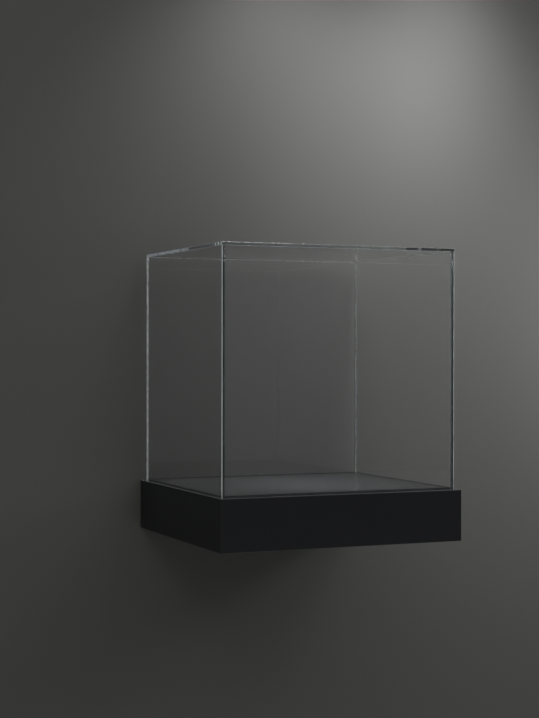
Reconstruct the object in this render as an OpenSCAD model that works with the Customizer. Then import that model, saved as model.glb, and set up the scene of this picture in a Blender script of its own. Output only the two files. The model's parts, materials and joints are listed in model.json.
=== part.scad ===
// Wall-hung display case: a clear five-sided cover that stands in a groove on a black mitred console.
// Frame: X to the right, Z up, the wall is the plane y = 0 and the room lies at -Y.
// The origin is on the wall plane, at the middle of the wall rail's row of screw holes.

/* [Console] */
// Width of the console across its side faces
console_w = 400; // [340:1:900]
// Depth of the console from the wall to its front face
console_d = 365; // [200:1:600]
// Height of the console
console_h = 79; // [71:1:200]
// Thickness of the mitred boards
board_t = 12; // [9:0.5:13]
// Thickness of the rear board that carries the hook rail
rear_board_t = 15; // [14:0.5:25]
// Thickness of the two inner ribs
rib_t = 12; // [9:0.5:18]
// Distance between the centres of the ribs
rib_spacing = 150; // [60:1:240]
// Leg of the glue blocks in the front corners
block_leg = 20; // [12:1:35]
// Leg of the small chamfer along every outer edge of the box
arris = 0.4; // [0.2:0.1:1.5]

/* [Deck and groove] */
// Height of the display deck above the rim of the console
deck_rise = 2; // [1:0.1:6]
// Depth of the groove below the rim
groove_depth = 3; // [1:0.1:5]
// Gap between a wall of the cover and a side of the groove
groove_clear = 0.5; // [0.2:0.1:1]

/* [Cover] */
// Thickness of the clear sheets
sheet_t = 4.5; // [3:0.5:10]
// Height of the cover above the rim of the console
cover_rise = 374; // [120:1:800]
// Rim of the console left bare at each side of the cover
rim_side = 6.5; // [6:0.1:40]
// Rim of the console left bare in front of the cover
rim_front = 12; // [6:0.1:60]
// Gap between the back of the cover and the wall
rim_back = 12; // [6:0.1:40]
// Leg of the polished chamfer along the outer edges of the sheets
sheet_arris = 0.5; // [0.1:0.1:0.8]

/* [Hook rails] */
// Wall thickness of the rail section
rail_t = 2.5; // [2:0.1:3]
// Height of a rail's flange
flange_h = 12.5; // [12:0.5:15]
// Height of a rail's lip
lip_h = 8.5; // [6:0.5:11]
// Gap between the two lips, and at the tip of each lip
hook_clear = 0.3; // [0.2:0.1:0.4]
// Gap between a lip and the face behind it
lip_clear = 0.6; // [0.5:0.1:1]
// Lead-in chamfer at the tip of a lip
lip_lead = 0.8; // [0.3:0.1:1.5]
// Gap from an end of a rail to the side board
rail_end_gap = 18; // [14:1:40]
// Gap from the top of the console's rail to the top board
rail_top_gap = 3; // [1:0.5:6]

/* [Screws and bumpers] */
// Number of screws along a rail
screw_count = 4; // [2:1:5]
// Distance from the end of a rail to its first screw
screw_inset = 26; // [10:1:40]
// Diameter of the screw holes in the rails
screw_hole_d = 4.5; // [4.2:0.1:5]
// Diameter of the screw shanks
screw_d = 4; // [3:0.1:4.1]
// Gap between a screw and the wood around it
pilot_clear = 0.1; // [0.05:0.05:0.2]
// Diameter of the screw heads
head_d = 8; // [7:0.1:9]
// Height of the domed heads of the rail screws
head_h = 2.4; // [1.8:0.1:2.8]
// Length of the rail screws below the head
rail_screw_len = 15; // [10:0.5:16]
// Length of the countersunk rib screws
rib_screw_len = 40; // [30:1:50]
// Distance of the rib screws from the bottom board and from the hook rail above them
rib_screw_edge = 8; // [6:0.5:12]
// Width of the cross recess in the screw heads
recess_w = 1; // [0.6:0.1:1.4]
// Depth of the cross recess
recess_depth = 1.2; // [0.6:0.1:1.5]
// Diameter of the rubber bumpers
bumper_d = 10; // [8:0.5:12]
// Height of the bumpers' centres above the bottom board
bumper_z = 9; // [7:0.5:20]

/* [Hidden] */
$fn = 48;
cut = 1; // how far a cutting solid runs past the face that it opens

// The channel behind a lip takes the other rail's lip and its gaps
lip_back = rail_t + lip_clear + hook_clear;
rail_stack = lip_back + rail_t + lip_clear;
rail_pair_h = 2 * flange_h + lip_h + hook_clear;
screw_line = (flange_h - rail_t) / 2;
wall_rail_z = -screw_line;
hanging_top_z = wall_rail_z + rail_pair_h;
hanging_screw_z = hanging_top_z - screw_line;

// Box, hung by its rail just under the top board
rim_z = hanging_top_z + rail_top_gap + board_t;
base_z = rim_z - console_h;
inner_w = console_w - 2 * board_t;
inner_h = console_h - 2 * board_t;
inner_z = base_z + board_t;
inner_front_y = -console_d + board_t;
rear_board_back_y = -rail_stack;
rear_board_front_y = rear_board_back_y - rear_board_t;
block_nose = block_leg / 5;

// Rails, screws and bumpers
rail_len = inner_w - 2 * rail_end_gap;
screw_pitch = (rail_len - 2 * screw_inset) / (screw_count - 1);
screw_xs = [for (i = [0 : screw_count - 1]) -rail_len / 2 + screw_inset + i * screw_pitch];
rib_xs = [-rib_spacing / 2, rib_spacing / 2];
rib_screw_zs = [inner_z + rib_screw_edge, hanging_top_z - flange_h - rib_screw_edge];
bumper_x = (rail_len + rail_end_gap) / 2;
bumper_round = rail_stack / 3;

// Cover
cover_w = console_w - 2 * rim_side;
cover_d = console_d - rim_front - rim_back;
cover_front_y = -console_d + rim_front;
cover_back_y = -rim_back;
seat_z = rim_z - groove_depth;
wall_h = cover_rise + groove_depth - sheet_t;
deck_inset = sheet_t + groove_clear;

board_colour = [0.07, 0.07, 0.08];
deck_colour = [0.09, 0.09, 0.10];
clear_colour = [0.78, 0.86, 0.86, 0.35];
wood_colour = [0.72, 0.60, 0.44];
rail_colour = [0.78, 0.79, 0.80];
screw_colour = [0.75, 0.72, 0.60];
rubber_colour = [0.12, 0.12, 0.12];

// Section of a board: outer face on v = 0, body below it. A mitred end slopes in at 45 degrees
// under half of the corner's chamfer, and a square end is cut straight.
function mitred_end(t) = [[t, -t], [arris / 2, -arris / 2], [arris, 0]];
function square_end(t) = [[0, -t], [0, 0]];
// Section of a clear sheet: its outer face has a chamfer at an end that shows
function chamfered_end(t) = [[0, -t], [0, -sheet_arris], [sheet_arris, 0]];
// The same end, turned to the far side of a section of the given length
function far(length, end) = [for (i = [len(end) - 1 : -1 : 0]) [length - end[i][0], end[i][1]]];

// A plate lying under z = 0, from the origin along +X and +Y, with one section along each of them
module plate(len_x, len_y, left, right, front, back) {
  intersection() {
    translate([0, len_y, 0]) rotate([90, 0, 0])
      linear_extrude(len_y) polygon(concat(left, far(len_x, right)));
    rotate([90, 0, 90])
      linear_extrude(len_x) polygon(concat(front, far(len_y, back)));
  }
}

// Clear sheets: the top lies over the four walls, and the side walls stand between front and back
module wall_sheet(length, end) {
  color(clear_colour)
    plate(length, wall_h, end, end, square_end(sheet_t), square_end(sheet_t));
}
module cover_top() {
  edge = chamfered_end(sheet_t);
  color(clear_colour)
    translate([-cover_w / 2, cover_front_y, rim_z + cover_rise])
      plate(cover_w, cover_d, edge, edge, edge, edge);
}
module cover_front() {
  translate([-cover_w / 2, cover_front_y, seat_z]) rotate([90, 0, 0])
    wall_sheet(cover_w, chamfered_end(sheet_t));
}
module cover_back() {
  translate([cover_w / 2, cover_back_y, seat_z]) rotate([90, 0, 180])
    wall_sheet(cover_w, chamfered_end(sheet_t));
}
module cover_left() {
  translate([-cover_w / 2, cover_back_y - sheet_t, seat_z]) rotate([90, 0, -90])
    wall_sheet(cover_d - 2 * sheet_t, square_end(sheet_t));
}
module cover_right() {
  translate([cover_w / 2, cover_front_y + sheet_t, seat_z]) rotate([90, 0, 90])
    wall_sheet(cover_d - 2 * sheet_t, square_end(sheet_t));
}

// The display deck, bonded on the top board inside the groove
module deck_panel() {
  color(deck_colour)
    translate([-cover_w / 2 + deck_inset, cover_front_y + deck_inset, rim_z])
      cube([cover_w - 2 * deck_inset, cover_d - 2 * deck_inset, deck_rise]);
}

// Ring-shaped cutter for the groove that the cover's walls stand in
module groove() {
  difference() {
    translate([-cover_w / 2 - groove_clear, cover_front_y - groove_clear, seat_z])
      cube([cover_w + 2 * groove_clear, cover_d + 2 * groove_clear, groove_depth + cut]);
    translate([-cover_w / 2 + deck_inset, cover_front_y + deck_inset, seat_z - cut])
      cube([cover_w - 2 * deck_inset, cover_d - 2 * deck_inset, groove_depth + 3 * cut]);
  }
}

// Mitred boards of the box, each laid flat first and then turned with its outer face outwards
module board(len_x, len_y, left, right, front, back) {
  function end(mitred) = mitred ? mitred_end(board_t) : square_end(board_t);
  color(board_colour) plate(len_x, len_y, end(left), end(right), end(front), end(back));
}
module top_board() {
  color(board_colour)
    difference() {
      translate([-console_w / 2, -console_d, rim_z])
        board(console_w, console_d, true, true, true, false);
      groove();
    }
}
module bottom_board() {
  translate([-console_w / 2, 0, base_z]) rotate([180, 0, 0])
    board(console_w, console_d, true, true, false, true);
}
module front_board() {
  translate([-console_w / 2, -console_d, base_z]) rotate([90, 0, 0])
    board(console_w, console_h, true, true, true, true);
}
module left_side_board() {
  translate([-console_w / 2, 0, base_z]) rotate([90, 0, -90])
    board(console_d, console_h, false, true, true, true);
}
module right_side_board() {
  translate([console_w / 2, -console_d, base_z]) rotate([90, 0, 90])
    board(console_d, console_h, true, false, true, true);
}

// Places what it is given at each screw of a rail or of the ribs, with local +Z towards the wall
module at_rail_screws() {
  for (x = screw_xs) translate([x, -rail_stack + rail_t, hanging_screw_z]) rotate([-90, 0, 0]) children();
}
module at_rib_screws(xs) {
  for (x = xs, z = rib_screw_zs) translate([x, rear_board_back_y, z]) rotate([-90, 0, 0]) children();
}

// The rear board is set in from the wall by the thickness of the two hooked rails
module rear_board() {
  color(wood_colour)
    difference() {
      translate([-inner_w / 2, rear_board_front_y, inner_z]) cube([inner_w, rear_board_t, inner_h]);
      at_rail_screws() pilot_hole(rail_screw_len);
      at_rib_screws(rib_xs) countersunk_hole();
    }
}

// The ribs run from the front board to the rear board under the top board
module rib(x) {
  color(wood_colour)
    difference() {
      translate([x - rib_t / 2, inner_front_y, inner_z])
        cube([rib_t, rear_board_front_y - inner_front_y, inner_h]);
      at_rib_screws([x]) countersunk_hole();
    }
}
module left_rib() { rib(rib_xs[0]); }
module right_rib() { rib(rib_xs[1]); }

// Glue blocks in the front corners, with their free edges cut back
module corner_blocks() {
  color(wood_colour)
    for (side = [-1, 1])
      translate([side * inner_w / 2, inner_front_y, inner_z])
        linear_extrude(inner_h)
          polygon([
            [0, 0], [-side * block_leg, 0], [-side * block_leg, block_nose],
            [-side * block_nose, block_leg], [0, block_leg]
          ]);
}

// Screws, seen with the head up: a pan head sits on z = 0, a countersunk head is flush with it
module cross_recess(top) {
  for (turn = [0, 90])
    rotate([0, 0, turn]) translate([-head_d / 4, -recess_w / 2, top - recess_depth])
      cube([head_d / 2, recess_w, recess_depth + cut]);
}
module pan_screw(length) {
  r = screw_d / 2;
  // the dome is a circle's cap that meets the rim of a short cylinder
  rim_h = head_h / 3;
  cap_h = head_h - rim_h;
  cap_r = (pow(head_d / 2, 2) + pow(cap_h, 2)) / (2 * cap_h);
  color(screw_colour)
    difference() {
      union() {
        cylinder(d = head_d, h = rim_h);
        intersection() {
          cylinder(d = head_d, h = head_h + cut);
          translate([0, 0, head_h - cap_r]) sphere(r = cap_r);
        }
        translate([0, 0, -length + r]) cylinder(r = r, h = length - r + rim_h / 2);
        translate([0, 0, -length]) cylinder(r1 = 0, r2 = r, h = r);
      }
      cross_recess(head_h);
    }
}
module countersunk_screw(length) {
  r = screw_d / 2;
  slope_h = head_d / 2 - r;
  color(screw_colour)
    difference() {
      rotate_extrude()
        polygon([[0, 0], [head_d / 2, 0], [r, -slope_h], [r, -length + r], [0, -length]]);
      cross_recess(0);
    }
}
module pilot_hole(length) {
  translate([0, 0, -length]) cylinder(d = screw_d + 2 * pilot_clear, h = length + cut);
}
module countersunk_hole() {
  slope_h = (head_d - screw_d) / 2;
  pilot_hole(rib_screw_len);
  translate([0, 0, -slope_h])
    cylinder(r1 = screw_d / 2 + pilot_clear, r2 = head_d / 2 + pilot_clear, h = slope_h);
  cylinder(r = head_d / 2 + pilot_clear, h = cut);
}
module rib_screws() { at_rib_screws(rib_xs) countersunk_screw(rib_screw_len); }
module rail_screws() { at_rail_screws() pan_screw(rail_screw_len); }

// Domed rubber bumpers on the rear board, which keep the lower edge of the box off the wall
module bumpers() {
  color(rubber_colour)
    for (side = [-1, 1])
      translate([side * bumper_x, rear_board_back_y, inner_z + bumper_z]) rotate([-90, 0, 0])
        rotate_extrude()
          polygon(concat(
            [[0, 0], [bumper_d / 2, 0]],
            [for (a = [0 : 15 : 90]) [
              bumper_d / 2 - bumper_round * (1 - cos(a)),
              rail_stack - bumper_round * (1 - sin(a))
            ]],
            [[0, rail_stack]]
          ));
}

// Hook rail, flange foot at z = 0 and its back on the wall plane: a flange, a step and a lip
module rail_bar() {
  section = [
    [0, 0], [rail_t, 0], [rail_t, flange_h - rail_t], [lip_back + rail_t, flange_h - rail_t],
    [lip_back + rail_t, flange_h + lip_h], [lip_back + lip_lead, flange_h + lip_h],
    [lip_back, flange_h + lip_h - lip_lead], [lip_back, flange_h], [0, flange_h]
  ];
  color(rail_colour)
    difference() {
      translate([-rail_len / 2, 0, 0]) rotate([90, 0, 90])
        linear_extrude(rail_len) polygon([for (p = section) [-p[0], p[1]]]);
      for (x = screw_xs)
        translate([x, cut, screw_line]) rotate([90, 0, 0])
          cylinder(d = screw_hole_d, h = rail_t + 2 * cut);
    }
}
module wall_rail() {
  translate([0, 0, wall_rail_z]) rail_bar();
}
module hanging_rail() {
  translate([0, -rail_stack, hanging_top_z]) rotate([180, 0, 0]) rail_bar();
}

cover_top();
cover_front();
cover_back();
cover_left();
cover_right();
deck_panel();
top_board();
bottom_board();
front_board();
left_side_board();
right_side_board();
rear_board();
left_rib();
right_rib();
corner_blocks();
rib_screws();
bumpers();
hanging_rail();
rail_screws();
wall_rail();
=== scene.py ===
"""Wall display case: a clear five-sided cover on a satin black console that hangs on two hooked rails.

Laid out as an add-on: one operator finishes each group of pieces, and one builds the studio around them.
Lengths are in metres. X runs to the right, Z up, and the wall is the plane y = 0 with the room at -Y.
"""

import json
import math

import bmesh
import bpy
import numpy as np
from bpy.props import FloatProperty, FloatVectorProperty, PointerProperty
from mathutils import Matrix, Vector


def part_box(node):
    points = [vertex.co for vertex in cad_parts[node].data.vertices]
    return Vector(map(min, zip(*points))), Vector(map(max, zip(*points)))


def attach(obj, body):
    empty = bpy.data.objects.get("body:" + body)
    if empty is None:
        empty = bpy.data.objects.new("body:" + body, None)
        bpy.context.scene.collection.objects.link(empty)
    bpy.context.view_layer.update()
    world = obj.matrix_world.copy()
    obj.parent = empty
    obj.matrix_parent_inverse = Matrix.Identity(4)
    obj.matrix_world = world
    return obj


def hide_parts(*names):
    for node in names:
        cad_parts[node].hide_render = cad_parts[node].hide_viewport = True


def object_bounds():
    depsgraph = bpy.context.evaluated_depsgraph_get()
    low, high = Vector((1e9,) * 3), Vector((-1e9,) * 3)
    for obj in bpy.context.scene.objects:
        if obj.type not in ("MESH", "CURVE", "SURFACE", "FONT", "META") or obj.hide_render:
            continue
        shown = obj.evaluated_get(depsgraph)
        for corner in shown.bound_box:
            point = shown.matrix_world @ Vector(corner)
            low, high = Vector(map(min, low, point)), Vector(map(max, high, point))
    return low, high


bl_info = {
    "name": "Wall display case",
    "version": (1, 0, 0),
    "blender": (4, 5, 0),
    "location": "3D View > Sidebar > Display case",
    "description": "Finishes for a wall-hung display case with a clear cover, and a plain studio for it",
    "category": "Object",
}

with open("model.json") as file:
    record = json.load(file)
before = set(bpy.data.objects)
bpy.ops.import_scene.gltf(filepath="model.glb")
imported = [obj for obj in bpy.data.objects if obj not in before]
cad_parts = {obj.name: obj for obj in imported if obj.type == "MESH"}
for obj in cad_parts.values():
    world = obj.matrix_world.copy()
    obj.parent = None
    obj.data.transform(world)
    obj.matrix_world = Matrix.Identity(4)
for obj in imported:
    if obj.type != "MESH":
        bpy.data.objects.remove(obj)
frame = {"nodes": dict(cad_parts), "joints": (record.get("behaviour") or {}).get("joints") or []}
CAD_LOW, CAD_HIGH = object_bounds()

# Places that the pieces share, read from the frame
TOP_LOW, TOP_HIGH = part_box("cover_top")
SHEET_T = TOP_HIGH.z - TOP_LOW.z
COVER_LOW = Vector((TOP_LOW.x, TOP_LOW.y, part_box("cover_front")[0].z))
COVER_HIGH = TOP_HIGH
BOX_LOW, BOTTOM_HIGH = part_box("bottom_board")
BOX_HIGH = Vector((BOTTOM_HIGH.x, BOTTOM_HIGH.y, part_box("top_board")[1].z))
DECK_LOW, DECK_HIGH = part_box("deck_panel")

COVER_SHEETS = ("cover_top", "cover_front", "cover_back", "cover_left", "cover_right")
BOX_BOARDS = ("bottom_board", "front_board", "left_side_board", "right_side_board")
INNER_BOARDS = ("rear_board", "left_rib", "right_rib", "corner_blocks")
# Ends of the sheets, by their side along X, that were sawn or sanded and never polished
ROUGH_ENDS = {"cover_top": (-1,), "cover_front": (1,), "cover_back": (-1, 1)}
# Places of a sheet's finishes in its list of materials
FACE, LEVEL_ARRIS, POLISHED, UPRIGHT_ARRIS, ROUGH_END = range(5)
# How far off a plane a point may lie and still belong to it
TOUCH = 2e-5
# Height of the sheets' feet above the groove's floor
FOOT_GAP = 1e-4
# Refractive index of acrylic
ACRYLIC_IOR = 1.49

# Distance from the case's back plane to the studio's wall
WALL_GAP = 1e-4
# Lamps of the studio: place, target, size, spread in degrees, and whether it shows as a reflection
LAMPS = {
    "key": ((0.95, -1.5, 1.35), (0.0, -0.18, 0.15), 0.8, 180.0, False),
    "side": ((-1.3, -1.2, 1.5), (0.0, -0.18, 0.15), 0.7, 180.0, False),
    "wall": ((0.98, -0.28, 0.42), (0.5, 0.0, 0.25), 0.25, 180.0, False),
    "top": ((0.37, -0.45, 1.15), (0.33, 0.0, 0.68), 0.15, 50.0, False),
    "loft": ((0.07, -0.27, 0.98), (0.05, 0.0, 0.56), 0.15, 100.0, True),
    "deck": ((0.01, -0.2, 1.4), (0.01, -0.19, 0.0), 0.1, 15.0, True),
    "rear": ((0.7, 1.6, 0.7), (0.0, 0.0, 0.0), 1.0, 180.0, True),
}
# How often light may bounce, because it is mirrored many times inside the edges of the clear sheets
BOUNCES = 128


def colour_property(name, description, default):
    """A linear colour with three channels."""
    return FloatVectorProperty(
        name=name, description=description, default=default, subtype="COLOR", size=3, min=0.0, max=1.0
    )


def length_property(name, description, default):
    """A length in metres."""
    return FloatProperty(
        name=name, description=description, default=default, min=0.0, unit="LENGTH", precision=5
    )


def share_property(name, description, default):
    """A share from nothing to all."""
    return FloatProperty(
        name=name, description=description, default=default, min=0.0, max=1.0, subtype="FACTOR"
    )


def strength_property(name, description, default):
    """A strength of the room's own light, where 1 is white."""
    return FloatProperty(name=name, description=description, default=default, min=0.0)


def power_property(name, description, default):
    """The power of a lamp in watts."""
    return FloatProperty(name=name, description=description, default=default, min=0.0, unit="POWER")


class CoverSettings(bpy.types.PropertyGroup):
    """The acrylic of the clear cover, and the cement between its sheets"""

    face_tint: colour_property("Face tint", "Tint of the acrylic across a sheet", (0.995, 0.998, 0.9975))
    edge_tint: colour_property("Edge tint", "Tint along the cover's edges", (0.50, 0.61, 0.66))
    tint_depth: length_property("Edge tint depth", "How far in from an edge its tint goes", 0.006)
    polished: colour_property("Polished edge", "Tint of the sheets' polished edges", (0.76, 0.86, 0.88))
    # Partly the acrylic's green along a whole sheet, and partly painted shade for the shaded wall seen
    # along it
    joint_tint_and_shade: colour_property("Joint tint", "Tint over the cover's upright joints", (0.03, 0.043, 0.05))
    joint_rim: length_property("Joint rim", "Clear rim between the joint tint and the corner", 0.0013)
    # Painted shade: a dark contact line in the sheets where they stand on the deck
    foot_painted_shade: colour_property("Foot tint", "Tint of the acrylic just above the deck", (0.06, 0.06, 0.065))
    foot_rise: length_property("Foot rise", "How far above the deck the foot tint goes", 0.0009)
    airy_length: length_property("Airy length", "Length below the top in which the joints hold air", 0.027)
    airy_step: length_property("Airy step", "Spacing of the dots along the airy length", 0.0058)
    arris: colour_property("Arris", "Colour of the scraped chamfers", (0.86, 0.88, 0.89))
    sanded: colour_property("Sanded end", "Colour of the sanded ends of the sheets", (0.94, 0.96, 0.98))
    sawn: colour_property("Sawn edge", "Colour of the top's rough left edge", (0.48, 0.53, 0.58))
    saw_mark: colour_property("Saw mark", "Colour of the marks on the top's edges", (0.075, 0.080, 0.090))
    chip: colour_property("Chip", "Colour of the chips between the saw marks", (0.86, 0.95, 0.93))
    front_marks: length_property("Front marks", "Length of the front edge's marks, from the right", 0.084)
    dash: length_property("Dash", "Length of one dash of the front marks with the gap beside it", 0.0335)
    left_marks: length_property("Left marks", "Length of the left edge's marks, from the front", 0.140)
    nicked: length_property("Nicked length", "Length of the nicks where the left marks begin", 0.037)
    nick: length_property("Nick", "Spacing of the nicks", 0.0115)
    bubble: share_property("Bubble", "Radius of an air bubble as a share of their spacing", 0.10)
    bubble_spacing: length_property("Bubble spacing", "Spacing of the air bubbles in a joint", 0.0030)
    cement: colour_property("Cement", "Colour of the dried beads of cement", (0.70, 0.74, 0.75))
    bead_leg: length_property("Bead leg", "Mean leg of the cement bead inside a joint", 0.0004)


class ConsoleSettings(bpy.types.PropertyGroup):
    """Lacquer, bare board and rubber of the console"""

    lacquer: colour_property("Lacquer", "Colour of the satin black lacquer", (0.0085, 0.0089, 0.0101))
    # Partly wear and partly a painted highlight along the boards' edges
    worn_highlit: colour_property("Rubbed edge", "Colour of the boards' rubbed edges", (0.012, 0.012, 0.014))
    lacquer_roughness: share_property("Lacquer roughness", "Mean roughness of the boards' lacquer", 0.24)
    # Lighter than the boards' lacquer: painted light for the light from above on the deck
    deck: colour_property("Deck", "Colour of the deck's lacquer", (0.0130, 0.0137, 0.0150))
    deck_roughness: share_property("Deck roughness", "Mean roughness of the deck's lacquer", 0.24)
    # Partly wear and partly a painted highlight along the deck's edges
    deck_edge: colour_property("Deck edge", "Colour of the deck's rubbed edges", (0.07, 0.073, 0.077))
    rim_dust: share_property("Rim dust", "Share of fine dust on the rim round the cover", 0.2)
    deck_dust: share_property("Deck dust", "Share of fine dust on the deck", 0.03)
    worn_highlit_width: length_property("Rubbed width", "Width of the rubbed line along an edge", 0.0012)
    board: colour_property("Bare board", "Colour of the unpainted fibre board", (0.36, 0.25, 0.155))
    fibre: colour_property("Board fibres", "Colour of the bare board's dark fibres", (0.20, 0.125, 0.07))
    rubber: colour_property("Rubber", "Colour of the bumpers", (0.022, 0.022, 0.023))


class MetalSettings(bpy.types.PropertyGroup):
    """Metals of the hooked rails and the screws"""

    aluminium: colour_property("Aluminium", "Colour of the extruded rails", (0.70, 0.71, 0.72))
    steel: colour_property("Plated steel", "Colour of the plated screws", (0.62, 0.60, 0.52))


class StageSettings(bpy.types.PropertyGroup):
    """Studio around the case"""

    wall: colour_property("Wall", "Colour of the wall that the case hangs on", (0.060, 0.060, 0.058))
    floor: colour_property("Floor", "Colour of the floor", (0.80, 0.80, 0.79))
    floor_drop: length_property("Floor drop", "Distance from the console down to the floor", 0.9)
    horizon: strength_property("Horizon", "Light of the room at eye level and below", 0.18)
    ceiling: strength_property("Ceiling", "Light of the room from above", 1.0)
    key_power: power_property("Key light", "Power of the large light above on the right", 9.0)
    side_power: power_property("Side light", "Power of the light above on the left", 7.0)
    wall_power: power_property("Wall light", "Power of the light close to the wall on the right", 8.0)
    top_power: power_property("Top light", "Power of the light on the wall above the cover", 1.4)
    loft_power: power_property("Loft light", "Power of the light over the cover, close to the wall", 1.3)
    deck_power: power_property("Deck light", "Power of the narrow light over the deck", 0.5)
    rear_power: power_property("Rear light", "Power of the light behind the wall", 12.0)


class CaseSettings(bpy.types.PropertyGroup):
    """All the settings of the display case and its studio"""

    cover: PointerProperty(type=CoverSettings)
    console: PointerProperty(type=ConsoleSettings)
    metal: PointerProperty(type=MetalSettings)
    stage: PointerProperty(type=StageSettings)


def add(tree, kind, inputs=None, **settings):
    """A node of one kind with its settings. Each input is a plain value or the socket that feeds it."""
    made = tree.nodes.new("ShaderNode" + kind)
    for name, value in settings.items():
        setattr(made, name, value)
    for name, value in (inputs or {}).items():
        if isinstance(value, bpy.types.NodeSocket):
            tree.links.new(value, made.inputs[name])
        elif isinstance(value, (tuple, Vector)) and made.inputs[name].type == "RGBA":
            made.inputs[name].default_value = (*value, 1.0)
        else:
            made.inputs[name].default_value = value
    return made


def maths(tree, operation, *values, clamp=False):
    """The result of a Math node."""
    return add(tree, "Math", dict(enumerate(values)), operation=operation, use_clamp=clamp).outputs[0]


def vector_maths(tree, operation, *values):
    """The vector that a Vector Math node puts out."""
    return add(tree, "VectorMath", dict(enumerate(values)), operation=operation).outputs[0]


def ramp(tree, value, start, end, low=0.0, high=1.0):
    """value mapped smoothly from start..end to low..high, and held outside that range."""
    inputs = {"Value": value, "From Min": start, "From Max": end, "To Min": low, "To Max": high}
    return add(tree, "MapRange", inputs, interpolation_type="SMOOTHSTEP").outputs[0]


def blend_colours(tree, share, first, second):
    """A mix of two colours, each a plain colour or a socket."""
    mix = add(tree, "Mix", data_type="RGBA")
    colour_sockets = [s for s in mix.inputs if s.type == "RGBA"]
    for socket, value in zip(colour_sockets, (first, second)):
        if isinstance(value, bpy.types.NodeSocket):
            tree.links.new(value, socket)
        else:
            socket.default_value = (*value, 1.0)
    tree.links.new(share, mix.inputs[0])
    return next(s for s in mix.outputs if s.type == "RGBA")


def object_place(tree):
    """The point on the piece, in the frame's own metres."""
    return add(tree, "TexCoord").outputs["Object"]


def new_group(name, inputs, outputs):
    """An empty shader node group with named sockets, as (group, its input node, its output node)."""
    group = bpy.data.node_groups.new(name, "ShaderNodeTree")
    for direction, sockets in (("INPUT", inputs), ("OUTPUT", outputs)):
        for socket_name, kind in sockets.items():
            group.interface.new_socket(socket_name, in_out=direction, socket_type="NodeSocket" + kind)
    return group, group.nodes.new("NodeGroupInput"), group.nodes.new("NodeGroupOutput")


def place_group(tree, group, inputs):
    """A group placed in a material with its own values."""
    placed = tree.nodes.new("ShaderNodeGroup")
    placed.node_tree = group
    for name, value in inputs.items():
        if isinstance(value, bpy.types.NodeSocket):
            tree.links.new(value, placed.inputs[name])
        else:
            placed.inputs[name].default_value = value
    return placed.outputs


def edge_mask_group():
    """Group: how near a point is to an edge of an axis-aligned box.

    The distances to the nearest side along each axis are sorted, and the middle one tells how far the
    point is from an edge: it is nothing on an edge and large in the middle of a face.
    """
    name = "Edge mask"
    if name in bpy.data.node_groups:
        return bpy.data.node_groups[name]
    group, given, result = new_group(
        name, {"Low": "Vector", "High": "Vector", "Width": "Float"}, {"Mask": "Float"}
    )
    place = object_place(group)
    above = vector_maths(group, "SUBTRACT", place, given.outputs["Low"])
    below = vector_maths(group, "SUBTRACT", given.outputs["High"], place)
    apart = add(group, "SeparateXYZ", {0: vector_maths(group, "MINIMUM", above, below)}).outputs
    least = maths(group, "MINIMUM", apart[0], apart[1])
    most = maths(group, "MAXIMUM", apart[0], apart[1])
    middle = maths(group, "MAXIMUM", least, maths(group, "MINIMUM", most, apart[2]))
    mask = ramp(group, middle, given.outputs["Width"], 0.0)
    group.links.new(mask, result.inputs["Mask"])
    return group


def edge_mask(tree, low, high, width):
    """1 on the edges of the given box, falling to 0 at width from them."""
    return place_group(tree, edge_mask_group(), {"Low": low, "High": high, "Width": width})["Mask"]


def grain_group():
    """Group: noise with cells stretched along each axis, as a value about 0.5 and as a bumped normal."""
    name = "Grain"
    if name in bpy.data.node_groups:
        return bpy.data.node_groups[name]
    group, given, result = new_group(
        name,
        {"Cells per Metre": "Vector", "Detail": "Float", "Contrast": "Float", "Height": "Float"},
        {"Value": "Float", "Normal": "Vector"},
    )
    cells = vector_maths(group, "MULTIPLY", object_place(group), given.outputs["Cells per Metre"])
    detail = given.outputs["Detail"]
    noise = add(group, "TexNoise", {"Vector": cells, "Scale": 1.0, "Detail": detail}).outputs[0]
    centred = maths(group, "SUBTRACT", noise, 0.5)
    spread = maths(group, "MULTIPLY_ADD", centred, given.outputs["Contrast"], 0.5)
    bump = add(group, "Bump", {"Strength": 1.0, "Distance": given.outputs["Height"], "Height": noise})
    group.links.new(spread, result.inputs["Value"])
    group.links.new(bump.outputs[0], result.inputs["Normal"])
    return group


def grain(tree, cells, detail, contrast, height=0.0):
    """A grain's Value and Normal. cells is how many there are per metre, along every axis or each axis."""
    cells = cells if isinstance(cells, tuple) else (cells, cells, cells)
    inputs = {"Cells per Metre": cells, "Detail": detail, "Contrast": contrast, "Height": height}
    return place_group(tree, grain_group(), inputs)


def by_grain(tree, pattern, low, high):
    """A value that follows a grain: low where the grain is 0.2 or less, high where it is 0.8 or more."""
    return ramp(tree, pattern["Value"], 0.2, 0.8, low, high)


def shade(colour, factor):
    """A colour made darker or paler by a factor."""
    return tuple(min(1.0, channel * factor) for channel in colour)


def new_material(name):
    """A material, its node tree and its Principled shader."""
    material = bpy.data.materials.new(name)
    material.use_nodes = True
    tree = material.node_tree
    return material, tree, tree.nodes["Principled BSDF"]


def set_shader(tree, shader, **inputs):
    """Sets the shader's sockets, named with underscores for spaces, to values or to what feeds them."""
    for name, value in inputs.items():
        socket = shader.inputs[name.replace("_", " ")]
        if isinstance(value, bpy.types.NodeSocket):
            tree.links.new(value, socket)
        elif socket.type == "RGBA":
            socket.default_value = (*value, 1.0)
        else:
            socket.default_value = value


def dress(nodes, material):
    """Gives the pieces of the frame one material."""
    for name in nodes:
        for slot in frame["nodes"][name].material_slots:
            slot.material = material


def within(tree, value, centre, reach):
    """1 where value lies within reach of centre, and 0 elsewhere."""
    return add(tree, "Math", {0: value, 1: centre, 2: reach}, operation="COMPARE").outputs[0]


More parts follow.
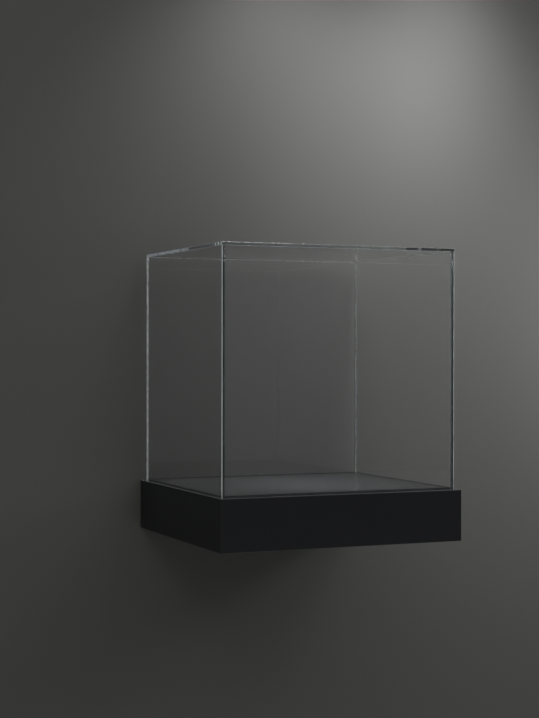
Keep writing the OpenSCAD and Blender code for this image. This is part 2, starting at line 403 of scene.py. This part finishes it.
def from_middle(tree):
    """Distances from the cover's middle along X and along Y, and the height."""
    apart = add(tree, "SeparateXYZ", {0: object_place(tree)}).outputs
    across = maths(tree, "ABSOLUTE", apart[0])
    deep = maths(tree, "SUBTRACT", apart[1], (COVER_LOW.y + COVER_HIGH.y) / 2)
    return across, maths(tree, "ABSOLUTE", deep), apart[2]


def dashed(tree, run, step, gap, start):
    """1 on the dashes of a line and 0 in its gaps, where run is the distance along the line.

    Each step has one gap, which takes up the given share of it. start shifts the steps by a share of one,
    and a noise with one cell to a step lets them wander.
    """
    wander = grain(tree, 1.0 / step, detail=3.0, contrast=1.2)["Value"]
    count = maths(tree, "DIVIDE", run, step)
    steps = maths(tree, "ADD", count, maths(tree, "MULTIPLY_ADD", wander, 0.5, start))
    return maths(tree, "GREATER_THAN", maths(tree, "FRACT", steps), gap)


def cemented_faces(tree, settings):
    """Mask of the faces on which two sheets of the cover are cemented, with the air bubbles left out.

    The walls meet the top on one level plane, and the side sheets meet the front and the back one on two
    upright planes. Only the cover's outer ring, as wide as a sheet is thick, belongs to a joint.
    """
    across, deep, height = from_middle(tree)
    half_x = COVER_HIGH.x - SHEET_T
    half_y = (COVER_HIGH.y - COVER_LOW.y) / 2 - SHEET_T
    in_side_ring = maths(tree, "GREATER_THAN", across, half_x - TOUCH)
    in_end_ring = maths(tree, "GREATER_THAN", deep, half_y - TOUCH)
    level = within(tree, height, TOP_LOW.z, TOUCH)
    in_ring = maths(tree, "MAXIMUM", in_side_ring, in_end_ring)
    under_top = maths(tree, "MULTIPLY", level, in_ring)
    upright = within(tree, deep, half_y, TOUCH)
    below_top = maths(tree, "LESS_THAN", height, TOP_LOW.z + TOUCH)
    corner = maths(tree, "MULTIPLY", maths(tree, "MULTIPLY", upright, in_side_ring), below_top)
    joint = maths(tree, "MAXIMUM", under_top, corner)
    spread = {"Vector": object_place(tree), "Scale": 1.0 / settings.bubble_spacing}
    cells = add(tree, "TexVoronoi", spread, feature="F1")
    bubble = maths(tree, "LESS_THAN", cells.outputs["Distance"], settings.bubble)
    return maths(tree, "MULTIPLY", joint, maths(tree, "SUBTRACT", 1.0, bubble))


def over_joints(tree, settings):
    """Mask of the strips of the front and the back sheet that lie over the upright joints, which are
    painted dark: partly the acrylic's green along a sheet, partly painted shade.

    A strip stops short of the corner, and just below the top trapped air breaks it up into dots.
    """
    across, deep, height = from_middle(tree)
    inner = maths(tree, "GREATER_THAN", across, COVER_HIGH.x - SHEET_T + TOUCH)
    outer = maths(tree, "LESS_THAN", across, COVER_HIGH.x - settings.joint_rim)
    outside = maths(tree, "GREATER_THAN", deep, (COVER_HIGH.y - COVER_LOW.y - SHEET_T) / 2)
    strip = maths(tree, "MULTIPLY", maths(tree, "MULTIPLY", inner, outer), outside)
    depth = maths(tree, "SUBTRACT", TOP_LOW.z, height)
    solid = maths(tree, "GREATER_THAN", depth, settings.airy_length)
    dots = dashed(tree, depth, settings.airy_step, gap=0.5, start=0.0)
    return maths(tree, "MULTIPLY", strip, maths(tree, "MAXIMUM", solid, dots))


def let_lamps_through(tree, shader):
    """Lets lamp light and light from matt surfaces go straight through a clear piece to what it covers.

    Each face keeps back what it mirrors. That is little of the light that meets it squarely and much of
    the light that grazes it, so the cover throws the faint shadow that a clear box does. The light isn't
    bent, so it meets the far face at the near face's angle. The ratio is turned over there, which gives
    both faces the same share.
    """
    light = add(tree, "LightPath").outputs
    far_face = add(tree, "NewGeometry").outputs["Backfacing"]
    ratio = maths(tree, "MULTIPLY_ADD", far_face, 1.0 / ACRYLIC_IOR - ACRYLIC_IOR, ACRYLIC_IOR)
    mirrored = add(tree, "Fresnel", {"IOR": ratio}).outputs[0]
    faint_tint, black = (0.985, 0.99, 0.99), (0.0, 0.0, 0.0)
    passed = blend_colours(tree, mirrored, faint_tint, black)
    clear = add(tree, "BsdfTransparent", {"Color": passed}).outputs[0]
    for_lamps = add(tree, "MixShader", {0: light["Is Shadow Ray"], 1: shader.outputs[0], 2: clear})
    for_room = add(tree, "MixShader", {0: light["Is Diffuse Ray"], 1: for_lamps.outputs[0], 2: clear})
    tree.links.new(for_room.outputs[0], tree.nodes["Material Output"].inputs["Surface"])


def painted_foot_shade_mask(tree, settings):
    """Mask of a fine line round the cover, just above the deck, where a contact shadow is painted as
    painted shade.
    """
    height = add(tree, "SeparateXYZ", {0: object_place(tree)}).outputs[2]
    half_rise = settings.foot_rise / 2
    return within(tree, height, DECK_HIGH.z + half_rise, half_rise)


def clear_acrylic(settings):
    """Clear cast acrylic, faintly green near the edges of the cover.

    A cemented face is open, because cement leaves no air between two sheets. Over an upright joint one
    looks along a whole sheet, and the acrylic there is painted dark: partly its green along that length,
    partly painted shade for the shaded wall seen along it. A fine dark line of painted shade follows the
    deck, where the sheets stand on it and the black groove shows through their feet.
    """
    material, tree, shader = new_material("clear_acrylic")
    edge = edge_mask(tree, COVER_LOW, COVER_HIGH, settings.tint_depth)
    sheet = blend_colours(tree, edge, settings.face_tint, settings.edge_tint)
    # Painted shade: a dark line in the acrylic just above the deck
    foot_shaded = blend_colours(tree, painted_foot_shade_mask(tree, settings), sheet, settings.foot_painted_shade)
    set_shader(
        tree, shader,
        # Over the upright joints the colour is dark: partly the green of a sheet's length, partly painted
        # shade
        Base_Color=blend_colours(tree, over_joints(tree, settings), foot_shaded, settings.joint_tint_and_shade),
        Roughness=0.0,
        IOR=ACRYLIC_IOR,
        Transmission_Weight=1.0,
        Alpha=maths(tree, "SUBTRACT", 1.0, cemented_faces(tree, settings)),
    )
    let_lamps_through(tree, shader)
    return material


def marked(tree, settings, unmarked):
    """The colour of the top's edge with its saw marks, which have chips between them.

    Its front edge has long dashes, and its left edge has nicks near the front and then one long mark.
    """
    apart = add(tree, "SeparateXYZ", {0: object_place(tree)}).outputs
    on_top = maths(tree, "GREATER_THAN", apart[2], TOP_LOW.z)
    on_front = within(tree, apart[1], COVER_LOW.y, TOUCH)
    from_right = maths(tree, "SUBTRACT", COVER_HIGH.x, apart[0])
    front = maths(tree, "MULTIPLY", on_front, maths(tree, "LESS_THAN", from_right, settings.front_marks))
    dashes = dashed(tree, from_right, settings.dash, gap=0.16, start=-0.03)
    on_left = within(tree, apart[0], COVER_LOW.x, TOUCH)
    from_front = maths(tree, "SUBTRACT", apart[1], COVER_LOW.y)
    left = maths(tree, "MULTIPLY", on_left, maths(tree, "LESS_THAN", from_front, settings.left_marks))
    past_nicks = maths(tree, "GREATER_THAN", from_front, settings.nicked)
    short_ones = dashed(tree, from_front, settings.nick, gap=0.4, start=0.63)
    nicks = maths(tree, "MAXIMUM", past_nicks, short_ones)
    front_ones = maths(tree, "MULTIPLY", front, dashes)
    left_ones = maths(tree, "MULTIPLY", left, nicks)
    marks = maths(tree, "ADD", front_ones, left_ones, clamp=True)
    stretches = maths(tree, "MULTIPLY", maths(tree, "MAXIMUM", front, left), on_top)
    chipped = blend_colours(tree, marks, settings.chip, settings.saw_mark)
    return blend_colours(tree, stretches, unmarked, chipped)


def polished_edge(settings):
    """The polished edges of the sheets: faintly green, and a little wavy."""
    material, tree, shader = new_material("polished_edge")
    waves = grain(tree, 60.0, detail=3.0, contrast=1.4, height=8e-4)
    pale = tuple((channel + 1.0) / 2 for channel in settings.polished)
    tint = blend_colours(tree, waves["Value"], settings.polished, pale)
    set_shader(
        tree, shader,
        Base_Color=marked(tree, settings, tint),
        Roughness=by_grain(tree, waves, 0.0, 0.12),
        IOR=ACRYLIC_IOR,
        Transmission_Weight=1.0,
        Normal=waves["Normal"],
    )
    let_lamps_through(tree, shader)
    return material


def sanded_end(name, settings, colour, per_metre):
    """Sanded or sawn ends of the sheets: matt and whitish in patches, with so many scratches per metre."""
    material, tree, shader = new_material(name)
    scratches = grain(tree, per_metre, detail=4.0, contrast=2.4, height=6e-5)
    patches = grain(tree, (110.0, 70.0, 110.0), detail=2.0, contrast=2.4)
    half = maths(tree, "MULTIPLY", scratches["Value"], 0.5)
    share = maths(tree, "MULTIPLY_ADD", patches["Value"], 0.5, half)
    white = blend_colours(tree, ramp(tree, share, 0.3, 0.7), shade(colour, 0.45), colour)
    set_shader(
        tree, shader,
        Base_Color=marked(tree, settings, white),
        Roughness=by_grain(tree, scratches, 0.35, 0.6),
        IOR=ACRYLIC_IOR,
        Transmission_Weight=0.2,
        Normal=scratches["Normal"],
    )
    let_lamps_through(tree, shader)
    return material


def scraped_arris(name, settings, clearness, low_roughness, high_roughness):
    """Scraped chamfers of the sheets: whitish, with scraper marks."""
    material, tree, shader = new_material(name)
    marks = grain(tree, 900.0, detail=3.0, contrast=1.8, height=5e-5)
    set_shader(
        tree, shader,
        Base_Color=blend_colours(tree, marks["Value"], settings.arris, (1.0, 1.0, 1.0)),
        Roughness=by_grain(tree, marks, low_roughness, high_roughness),
        IOR=ACRYLIC_IOR,
        Transmission_Weight=clearness,
        Normal=marks["Normal"],
    )
    let_lamps_through(tree, shader)
    return material


def black_lacquer(name, settings, colour, worn_highlit_colour, mean_roughness, low, high, dust=0.0):
    """Satin black spray lacquer with a fine orange peel, lighter along the edges of the given box.

    The lighter line along the edges is partly wear and partly a painted highlight on the arrises. Dust
    shows as a pale sheen when one looks along the face.
    """
    material, tree, shader = new_material(name)
    peel = grain(tree, 620.0, detail=3.0, contrast=1.0, height=2e-6)
    clouds = grain(tree, 14.0, detail=4.0, contrast=1.6)
    edge = edge_mask(tree, low, high, settings.worn_highlit_width)
    # Lighter line along the edges: partly wear, partly a painted highlight
    worn_highlit = maths(tree, "MULTIPLY", edge, by_grain(tree, clouds, 0.35, 1.0))
    swing = 0.02
    clouded = ramp(tree, clouds["Value"], 0.0, 1.0, -swing, swing)
    roughness = maths(tree, "ADD", clouded, ramp(tree, peel["Value"], 0.0, 1.0, -swing, swing))
    set_shader(
        tree, shader,
        Base_Color=blend_colours(tree, worn_highlit, colour, worn_highlit_colour),
        Roughness=maths(tree, "ADD", roughness, mean_roughness, clamp=True),
        Specular_IOR_Level=0.18,
        Sheen_Weight=dust,
        Sheen_Roughness=0.3,
        Normal=peel["Normal"],
    )
    return material


def bare_board(settings):
    """Unpainted fibre board: short fibres in all directions over a mottled ground."""
    material, tree, shader = new_material("bare_fibre_board")
    fibres = grain(tree, (420.0, 900.0, 1300.0), detail=5.0, contrast=1.8, height=1.5e-4)
    mottle = grain(tree, 45.0, detail=3.0, contrast=1.4)
    most = maths(tree, "MULTIPLY", fibres["Value"], 0.6)
    share = maths(tree, "MULTIPLY_ADD", mottle["Value"], 0.4, most)
    set_shader(
        tree, shader,
        Base_Color=blend_colours(tree, ramp(tree, share, 0.3, 0.75), settings.board, settings.fibre),
        Roughness=ramp(tree, fibres["Value"], 0.0, 1.0, 0.7, 0.9),
        Normal=fibres["Normal"],
    )
    return material


def rail_aluminium(settings):
    """Mill-finished aluminium with the fine lines that the die leaves along X."""
    material, tree, shader = new_material("extruded_aluminium")
    lines = grain(tree, (6.0, 2600.0, 2600.0), detail=4.0, contrast=1.3, height=2e-5)
    dark = shade(settings.aluminium, 0.82)
    set_shader(
        tree, shader,
        Base_Color=blend_colours(tree, lines["Value"], settings.aluminium, dark),
        Metallic=1.0,
        Roughness=by_grain(tree, lines, 0.28, 0.46),
        Normal=lines["Normal"],
    )
    return material


def plated_steel(settings):
    """Zinc-plated steel with a mottled, slightly yellow sheen."""
    material, tree, shader = new_material("plated_steel")
    mottle = grain(tree, 700.0, detail=3.0, contrast=1.6, height=1e-5)
    pale = shade(settings.steel, 1.2)
    set_shader(
        tree, shader,
        Base_Color=blend_colours(tree, mottle["Value"], settings.steel, pale),
        Metallic=1.0,
        Roughness=by_grain(tree, mottle, 0.24, 0.4),
        Normal=mottle["Normal"],
    )
    return material


def bumper_rubber(settings):
    """Moulded rubber with a fine matt grain."""
    material, tree, shader = new_material("moulded_rubber")
    pores = grain(tree, 1500.0, detail=2.0, contrast=1.2, height=3e-5)
    worn = shade(settings.rubber, 1.9)
    set_shader(
        tree, shader,
        Base_Color=blend_colours(tree, ramp(tree, pores["Value"], 0.3, 0.8), settings.rubber, worn),
        Roughness=by_grain(tree, pores, 0.6, 0.8),
        Normal=pores["Normal"],
    )
    return material


def dried_cement(settings):
    """Dried solvent cement: pale, half clear and slightly whitened."""
    material, tree, shader = new_material("dried_cement")
    clouds = grain(tree, 500.0, detail=3.0, contrast=1.6, height=2e-5)
    white = shade(settings.cement, 1.1)
    set_shader(
        tree, shader,
        Base_Color=blend_colours(tree, clouds["Value"], settings.cement, white),
        Roughness=by_grain(tree, clouds, 0.25, 0.5),
        IOR=ACRYLIC_IOR,
        Transmission_Weight=0.75,
        Normal=clouds["Normal"],
    )
    return material


def ring_mesh(name, rings, material):
    """A closed piece through rings of points, an array (rings, points, 3), with a flat cap on each end.

    Face (i, j) joins points j and j + 1 of ring i to the same points of ring i + 1, and the last point
    of a ring is followed by its first. Rings run anticlockwise round the direction they are carried in.
    """
    count, size, _ = rings.shape
    i, j = np.meshgrid(np.arange(count - 1), np.arange(size), indexing="ij")
    k = (j + 1) % size
    quads = np.stack([i * size + j, i * size + k, (i + 1) * size + k, (i + 1) * size + j], axis=-1)
    caps = [list(range(size - 1, -1, -1)), list(range((count - 1) * size, count * size))]
    mesh = bpy.data.meshes.new(name)
    mesh.from_pydata(rings.reshape(-1, 3).tolist(), [], quads.reshape(-1, 4).tolist() + caps)
    mesh.materials.append(material)
    piece = bpy.data.objects.new(name, mesh)
    bpy.context.scene.collection.objects.link(piece)
    return piece


def cement_bead(name, start, end, side_a, side_b, leg, seed, material):
    """A concave bead of cement carried along the inner corner of two sheets, from start to end.

    side_a and side_b are the unit directions out of the corner along the two sheets. The section runs
    from the corner along side_a, back to side_b on a quarter circle about the far corner of a square
    whose side is the leg, and home, all of it a hair off the sheets. The leg swells and shrinks along the
    bead by a few sine waves, each with a whole number of turns, and it tapers to blunt ends.
    """
    start, end, side_a, side_b = (np.array(v, float) for v in (start, end, side_a, side_b))
    along = end - start
    if np.dot(np.cross(side_a, side_b), along) < 0:
        side_a, side_b = side_b, side_a
    ring_step, arc_points, hair = 0.003, 6, 1e-5
    wave_count, turn_range, wave_height = 5, (3, 40), 0.11
    blunt_size, taper = 0.35, 4 * leg
    turn = np.linspace(0.0, np.pi / 2, arc_points)
    section_a = np.concatenate([[0.0], 1.0 - np.sin(turn)])
    section_b = np.concatenate([[0.0], 1.0 - np.cos(turn)])
    length = np.linalg.norm(along)
    t = np.linspace(0.0, 1.0, max(2, int(length / ring_step)))[:, None]
    random = np.random.default_rng(seed)
    turns = random.integers(*turn_range, size=wave_count)
    phases = random.uniform(0.0, 2 * np.pi, size=wave_count)
    swell = 1.0 + wave_height * np.sin(2 * np.pi * turns * t + phases).sum(axis=1, keepdims=True)
    ends = np.minimum(1.0, blunt_size + np.minimum(t, 1.0 - t) * length / taper)
    size = leg * swell * ends
    across = (hair + size * section_a)[..., None] * side_a + (hair + size * section_b)[..., None] * side_b
    return ring_mesh(name, start + t[..., None] * along + across, material)


def merge_doubles(mesh):
    """Joins the loose triangles of a copied mesh at their shared corners."""
    whole = bmesh.new()
    whole.from_mesh(mesh)
    bmesh.ops.remove_doubles(whole, verts=whole.verts, dist=1e-6)
    whole.to_mesh(mesh)
    whole.free()


def mesh_array(items, field, width):
    """One field of a mesh's corners or faces as an array of rows."""
    values = np.empty(len(items) * width)
    items.foreach_get(field, values)
    return values.reshape(-1, width)


def finished_sheet(node, finishes):
    """A copy of a clear sheet whose chamfers and outer edges have finishes of their own.

    A face that points along no axis is a chamfer, and it stands upright if it looks sideways. A face
    across the sheet's thickness that lies on the outside of the cover is a polished edge or a sanded end.
    The feet stand a hair above the groove, so that there is air under them as on the real cover.
    """
    mesh = frame["nodes"][node].data.copy()
    mesh.name = f"{node}_sheet"
    merge_doubles(mesh)
    signed = mesh_array(mesh.polygons, "normal", 3)
    normals = np.abs(signed)
    centres = mesh_array(mesh.polygons, "center", 3)
    low, high = (np.array(corner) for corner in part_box(node))
    thin = np.argmin(high - low)
    axis = normals.argmax(axis=1)
    along = np.take_along_axis(centres, axis[:, None], 1)[:, 0]
    cover_low, cover_high = np.array(COVER_LOW), np.array(COVER_HIGH)
    outside = np.minimum(np.abs(along - cover_low[axis]), np.abs(along - cover_high[axis])) < TOUCH
    rough_sides = np.isin(np.round(signed[:, 0]), ROUGH_ENDS.get(node, ())) & (axis == 0)
    chamfer = np.where(normals[:, 2] < 0.5, UPRIGHT_ARRIS, LEVEL_ARRIS)
    edge = np.where(outside & (axis != thin), np.where(rough_sides, ROUGH_END, POLISHED), FACE)
    finish = np.where(normals.max(axis=1) < 0.99, chamfer, edge)
    mesh.materials.clear()
    for material in finishes:
        mesh.materials.append(material)
    mesh.polygons.foreach_set("material_index", finish.astype(np.int32))
    corners = mesh_array(mesh.vertices, "co", 3)
    corners[np.abs(corners[:, 2] - COVER_LOW.z) < TOUCH, 2] += FOOT_GAP
    mesh.vertices.foreach_set("co", corners.ravel())
    mesh.update()
    piece = bpy.data.objects.new(mesh.name, mesh)
    bpy.context.scene.collection.objects.link(piece)
    return piece


class CaseOperator(bpy.types.Operator):
    """Shared by the operators below"""

    bl_options = {"REGISTER", "UNDO"}

    def settings(self, context):
        """All the settings of the case."""
        return context.scene.display_case


class DISPLAYCASE_OT_clear_cover(CaseOperator):
    """Give the five cemented sheets of the cover their acrylic"""

    bl_idname = "displaycase.clear_cover"
    bl_label = "Clear cover"

    def execute(self, context):
        settings = self.settings(context).cover
        finishes = (
            clear_acrylic(settings),
            scraped_arris("level_arris", settings, clearness=0.88, low_roughness=0.12, high_roughness=0.3),
            polished_edge(settings),
            scraped_arris("upright_arris", settings, clearness=0.1, low_roughness=0.35, high_roughness=0.6),
        )
        sanded = sanded_end("sanded_end", settings, settings.sanded, per_metre=700.0)
        sawn = sanded_end("sawn_edge", settings, settings.sawn, per_metre=330.0)
        for node in COVER_SHEETS:
            sheet = finished_sheet(node, (*finishes, sawn if node == "cover_top" else sanded))
            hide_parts(node)
            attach(sheet, "cover")
        return {"FINISHED"}


class DISPLAYCASE_OT_cement_beads(CaseOperator):
    """Run a bead of cement along each inner joint of the cover, four upright and four under the top"""

    bl_idname = "displaycase.cement_beads"
    bl_label = "Cement beads"

    def execute(self, context):
        settings = self.settings(context).cover
        material = dried_cement(settings)
        leg = settings.bead_leg
        low = COVER_LOW + Vector((SHEET_T, SHEET_T, 0.0))
        high = COVER_HIGH - Vector((SHEET_T, SHEET_T, SHEET_T))
        bottom = DECK_HIGH.z + leg
        # The upright and the side beads stop short of those along the front and the back
        short = 2 * leg
        sides = {"left": (low.x, 1), "right": (high.x, -1)}
        ends = {"front": (low.y, 1), "back": (high.y, -1)}
        runs = {}
        for side, (x, inward_x) in sides.items():
            for end, (y, inward_y) in ends.items():
                runs[f"{end}_{side}"] = (
                    (x, y, bottom), (x, y, high.z - short), (inward_x, 0, 0), (0, inward_y, 0)
                )
            runs[f"top_{side}"] = (
                (x, low.y + short, high.z), (x, high.y - short, high.z), (inward_x, 0, 0), (0, 0, -1)
            )
        for end, (y, inward_y) in ends.items():
            runs[f"top_{end}"] = ((low.x, y, high.z), (high.x, y, high.z), (0, inward_y, 0), (0, 0, -1))
        for seed, (name, run) in enumerate(runs.items()):
            bead = cement_bead(f"cement_bead_{name}", *run, leg, seed, material)
            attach(bead, "cover")
        return {"FINISHED"}


class DISPLAYCASE_OT_console_box(CaseOperator):
    """Lacquer the five mitred boards of the console, of which the top one has a little dust on it"""

    bl_idname = "displaycase.console_box"
    bl_label = "Console box"

    def execute(self, context):
        settings = self.settings(context).console
        finish = (
            settings, settings.lacquer, settings.worn_highlit, settings.lacquer_roughness, BOX_LOW, BOX_HIGH
        )
        dress(BOX_BOARDS, black_lacquer("black_lacquer", *finish))
        dress(("top_board",), black_lacquer("dusty_lacquer", *finish, settings.rim_dust))
        return {"FINISHED"}


class DISPLAYCASE_OT_deck(CaseOperator):
    """Lacquer the raised display deck inside the groove, in a lighter black that is painted light from
    above
    """

    bl_idname = "displaycase.deck"
    bl_label = "Display deck"

    def execute(self, context):
        settings = self.settings(context).console
        # The deck's black is lighter than the boards': painted light for the light from above
        finish = (
            settings, settings.deck, settings.deck_edge, settings.deck_roughness, DECK_LOW, DECK_HIGH
        )
        dress(("deck_panel",), black_lacquer("deck_lacquer", *finish, settings.deck_dust))
        return {"FINISHED"}


class DISPLAYCASE_OT_inner_boards(CaseOperator):
    """Leave the rear board, the ribs and the glue blocks as bare board"""

    bl_idname = "displaycase.inner_boards"
    bl_label = "Inner boards"

    def execute(self, context):
        dress(INNER_BOARDS, bare_board(self.settings(context).console))
        return {"FINISHED"}


class DISPLAYCASE_OT_hook_rails(CaseOperator):
    """Finish the two hooked rails as extruded aluminium"""

    bl_idname = "displaycase.hook_rails"
    bl_label = "Hooked rails"

    def execute(self, context):
        dress(("wall_rail", "hanging_rail"), rail_aluminium(self.settings(context).metal))
        return {"FINISHED"}


class DISPLAYCASE_OT_screws(CaseOperator):
    """Plate the screws of the rail and of the ribs"""

    bl_idname = "displaycase.screws"
    bl_label = "Screws"

    def execute(self, context):
        dress(("rail_screws", "rib_screws"), plated_steel(self.settings(context).metal))
        return {"FINISHED"}


class DISPLAYCASE_OT_bumpers(CaseOperator):
    """Finish the two wall bumpers as moulded rubber"""

    bl_idname = "displaycase.bumpers"
    bl_label = "Bumpers"

    def execute(self, context):
        dress(("bumpers",), bumper_rubber(self.settings(context).console))
        return {"FINISHED"}


def sheet_mesh(name, corners, faces, material):
    """A flat stage piece from its corners and faces."""
    mesh = bpy.data.meshes.new(name)
    mesh.from_pydata(corners, [], faces)
    mesh.materials.append(material)
    piece = bpy.data.objects.new(name, mesh)
    bpy.context.scene.collection.objects.link(piece)
    return piece


def matt_paint(name, colour):
    """Matt paint, as a material, its node tree and its shader."""
    material, tree, shader = new_material(name)
    set_shader(tree, shader, Base_Color=colour, Roughness=0.9, Specular_IOR_Level=0.1)
    return material, tree, shader


def wall_paint(settings):
    """Matt paint on the room's side of the wall. The back is open, so that the case shows from behind.

    A ray that leaves a face right at the wall gets through as well, so that light from behind reaches the
    rear ends of the boards.
    """
    material, tree, shader = matt_paint("stage_wall", settings.wall)
    open_back = add(tree, "BsdfTransparent").outputs[0]
    back = add(tree, "NewGeometry").outputs["Backfacing"]
    close = maths(tree, "LESS_THAN", add(tree, "LightPath").outputs["Ray Length"], 4 * WALL_GAP)
    through = maths(tree, "MAXIMUM", back, close)
    sides = add(tree, "MixShader", {0: through, 1: shader.outputs[0], 2: open_back})
    tree.links.new(sides.outputs[0], tree.nodes["Material Output"].inputs["Surface"])
    return material


def pierced_wall(low, high, hole_low, hole_high):
    """Corners and faces of an upright rectangle that faces -Y and has a rectangular hole.

    Two more uprights and two more levels run along the sides of the hole, so there are four of each, and
    the quads between them are all there but the middle one. Corner 4 * level + upright is counted from
    the lower left, and each quad starts at its own lower left corner.
    """
    uprights = (low[0], hole_low[0], hole_high[0], high[0])
    levels = (low[1], hole_low[1], hole_high[1], high[1])
    corners = [(x, WALL_GAP, z) for z in levels for x in uprights]
    starts = [4 * row + column for row in range(3) for column in range(3) if (row, column) != (1, 1)]
    return corners, [(start, start + 1, start + 5, start + 4) for start in starts]


def add_room(settings):
    """The floor, and the wall with a hole that the console hides, through which light reaches its back."""
    reach, wall_top, hidden = 4.0, 2.4, 0.004
    floor_z = CAD_LOW[2] - settings.floor_drop
    travel = next(j for j in frame["joints"] if j["name"] == "console_lift")["range_m"][1]
    corners, quads = pierced_wall(
        (-reach, floor_z), (reach, wall_top),
        (BOX_LOW.x + hidden, BOX_LOW.z + travel + hidden), (BOX_HIGH.x - hidden, BOX_HIGH.z - hidden),
    )
    sheet_mesh("stage_wall", corners, quads, wall_paint(settings))
    ground = ((-reach, -reach), (reach, -reach), (reach, reach), (-reach, reach))
    corners = [(x, y, floor_z) for x, y in ground]
    sheet_mesh("stage_floor", corners, [(0, 1, 2, 3)], matt_paint("stage_floor", settings.floor)[0])


def add_lamp(name, power, place, target, size, spread, mirrored):
    """A square area light at place, turned to target. Its spread is in degrees.

    It isn't seen through the clear sheets, and only a mirrored one shows as a reflection.
    """
    light = bpy.data.lights.new(name, "AREA")
    light.energy = power
    light.size = size
    light.spread = math.radians(spread)
    lamp = bpy.data.objects.new(name, light)
    lamp.location = place
    lamp.rotation_euler = (Vector(target) - Vector(place)).to_track_quat("-Z", "Y").to_euler()
    lamp.visible_transmission = False
    lamp.visible_glossy = mirrored
    bpy.context.scene.collection.objects.link(lamp)
    return lamp


def add_camera():
    """Camera at the photograph's viewing point: turned to the right, and very slightly down and rolled."""
    place = Vector((-1.02158, -2.45925, 0.25874))
    yaw, pitch, roll = (math.radians(angle) for angle in (-23.212, -0.301, 0.060))
    lens, sensor = 77.974, 36.0
    level = math.pi / 2
    turn = Matrix.Identity(4)
    for angle, axis in ((yaw, "Z"), (level + pitch, "X"), (roll, "Z")):
        turn @= Matrix.Rotation(angle, 4, axis)
    camera = bpy.data.cameras.new("camera")
    camera.lens = lens
    camera.sensor_width = sensor
    eye = bpy.data.objects.new("camera", camera)
    eye.matrix_world = Matrix.Translation(place) @ turn
    bpy.context.scene.collection.objects.link(eye)
    bpy.context.scene.camera = eye


def add_world(settings):
    """A soft room light, brighter towards the ceiling."""
    world = bpy.data.worlds.new("room")
    bpy.context.scene.world = world
    world.use_nodes = True
    tree = world.node_tree
    background = tree.nodes["Background"]
    background.inputs["Color"].default_value = (1.0, 1.0, 1.0, 1.0)
    height = add(tree, "SeparateXYZ", {0: add(tree, "TexCoord").outputs["Generated"]}).outputs["Z"]
    eye_level, overhead = 0.1, 0.9
    strength = ramp(tree, height, eye_level, overhead, settings.horizon, settings.ceiling)
    tree.links.new(strength, background.inputs["Strength"])


class DISPLAYCASE_OT_studio(CaseOperator):
    """Build the plain wall, the pale floor, the soft lights and the camera"""

    bl_idname = "displaycase.studio"
    bl_label = "Studio"

    def execute(self, context):
        settings = self.settings(context).stage
        add_room(settings)
        for name, shape in LAMPS.items():
            add_lamp(f"{name}_light", getattr(settings, f"{name}_power"), *shape)
        add_world(settings)
        add_camera()
        context.scene.view_settings.view_transform = "Standard"
        for kind in ("max_bounces", "glossy_bounces", "transmission_bounces", "transparent_max_bounces"):
            setattr(context.scene.cycles, kind, BOUNCES)
        return {"FINISHED"}


STEPS = (
    DISPLAYCASE_OT_studio,
    DISPLAYCASE_OT_clear_cover,
    DISPLAYCASE_OT_cement_beads,
    DISPLAYCASE_OT_console_box,
    DISPLAYCASE_OT_deck,
    DISPLAYCASE_OT_inner_boards,
    DISPLAYCASE_OT_hook_rails,
    DISPLAYCASE_OT_screws,
    DISPLAYCASE_OT_bumpers,
)


class DISPLAYCASE_PT_sidebar(bpy.types.Panel):
    """Steps that finish the display case"""

    bl_idname = "DISPLAYCASE_PT_sidebar"
    bl_label = "Display case"
    bl_space_type = "VIEW_3D"
    bl_region_type = "UI"
    bl_category = "Display case"

    def draw(self, context):
        for step in STEPS:
            self.layout.operator(step.bl_idname)
        for name in CaseSettings.__annotations__:
            group = getattr(context.scene.display_case, name)
            box = self.layout.box()
            box.label(text=name.capitalize())
            for setting in type(group).__annotations__:
                box.prop(group, setting)


CLASSES = (
    CoverSettings, ConsoleSettings, MetalSettings, StageSettings, CaseSettings,
    *STEPS,
    DISPLAYCASE_PT_sidebar,
)


def register():
    for item in CLASSES:
        bpy.utils.register_class(item)
    bpy.types.Scene.display_case = PointerProperty(type=CaseSettings)


def unregister():
    del bpy.types.Scene.display_case
    for item in reversed(CLASSES):
        bpy.utils.unregister_class(item)


def main():
    """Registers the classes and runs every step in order."""
    register()
    for step in STEPS:
        folder, name = step.bl_idname.split(".")
        getattr(getattr(bpy.ops, folder), name)()


if __name__ == "__main__":
    main()
